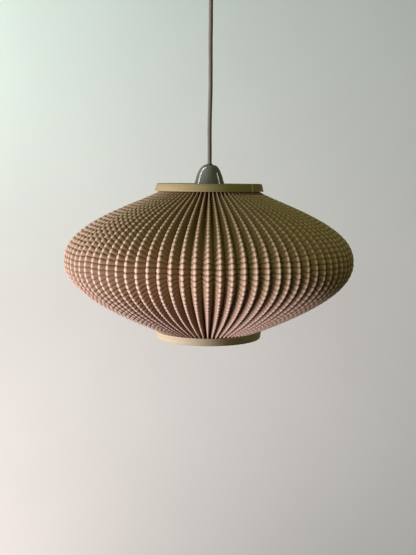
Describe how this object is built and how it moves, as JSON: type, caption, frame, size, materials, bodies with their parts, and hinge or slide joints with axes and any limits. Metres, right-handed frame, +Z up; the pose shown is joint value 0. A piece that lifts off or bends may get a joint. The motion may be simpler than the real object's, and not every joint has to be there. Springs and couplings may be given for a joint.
{
  "type": "pendant lamp",
  "caption": "Pendant lamp: an accordion-pleated paper lantern between bentwood hoops, hung on its flex from a ceiling cup.",
  "frame": {"origin": "middle of the ceiling plate's upper face, where the lamp is screwed to the ceiling", "axes": "+Z up, away from the lamp and into the ceiling; -Y is the side the viewer faces; +X to the viewer's right"},
  "size_m": [0.42, 0.42, 0.5925],
  "materials": {
    "zinc_steel": "satin",
    "brass": "satin",
    "white_plastic": "matte",
    "grey_plastic": "satin",
    "cup_plastic": "gloss",
    "grey_rubber": "matte",
    "flex_grey": "satin",
    "wire_cores": "satin",
    "cap_grey": "gloss",
    "ceramic": "gloss",
    "bentwood": "satin",
    "pleated_paper": "matte",
    "opal_glass": "satin",
    "cap_aluminium": "satin",
    "black_insulator": "gloss"
  },
  "bodies": {
    "ceiling": {"ceiling_plate": "zinc_steel", "hanger_bracket": "zinc_steel", "hanger_nipple": "brass", "nipple_lock_nut": "brass", "terminal_block": "white_plastic", "terminal_screws": "brass", "ceiling_cord_tail": "flex_grey", "ceiling_wires": "wire_cores", "cord_clamp": "white_plastic", "cord_clamp_screws": "zinc_steel", "cord_gland": "grey_plastic"},
    "canopy": {"canopy_cup": "cup_plastic", "canopy_nut": "grey_plastic"},
    "relief": {"bend_relief": "grey_rubber"},
    "cord": {"flex_cord": "flex_grey"},
    "holder": {"holder_cap": "cap_grey", "cord_bush": "grey_plastic", "holder_cord_tail": "flex_grey", "holder_wires": "wire_cores", "holder_grip_bar": "white_plastic", "holder_grip_screws": "zinc_steel", "holder_insert": "ceramic", "holder_terminal_screws": "brass", "screw_shell": "brass", "centre_contact": "brass", "holder_skirt": "cap_grey"},
    "shade": {"shade_ring": "cap_grey", "spider": "zinc_steel", "spider_rivets": "zinc_steel", "top_inner_ring": "bentwood", "top_hoop": "bentwood", "pleated_shade": "pleated_paper"},
    "lower_hoop": {"bottom_hoop": "bentwood", "bottom_inner_ring": "bentwood"},
    "bulb": {"bulb_glass": "opal_glass", "bulb_cap": "cap_aluminium", "bulb_insulator": "black_insulator", "bulb_contact": "cap_aluminium"}
  },
  "joints": [
    {"name": "canopy_lower", "type": "slide", "parent": "ceiling", "child": "canopy", "axis": [0, 0, -1], "range_m": [0, 0.024]},
    {"name": "swing_side", "type": "hinge", "parent": "ceiling", "child": "relief", "pos_m": [0, 0, -0.082], "axis": [0, 1, 0], "range_deg": [-20, 20]},
    {"name": "swing_front", "type": "hinge", "parent": "relief", "child": "cord", "pos_m": [0, 0, -0.1], "axis": [1, 0, 0], "range_deg": [-20, 20]},
    {"name": "lamp_turn", "type": "hinge", "parent": "cord", "child": "holder", "pos_m": [0, 0, -0.338], "axis": [0, 0, 1], "range_deg": [-90, 90]},
    {"name": "shade_release", "type": "slide", "parent": "holder", "child": "shade", "axis": [0, 0, -1], "range_m": [0, 0.034]},
    {"name": "shade_squash", "type": "slide", "parent": "shade", "child": "lower_hoop", "axis": [0, 0, 1], "range_m": [0, 0.05], "stiffness_N_per_m": 60, "deforming": ["pleated_shade"]},
    {"name": "bulb_unscrew", "type": "slide", "parent": "holder", "child": "bulb", "axis": [0, 0, -1], "range_m": [0, 0.2]}
  ]
}
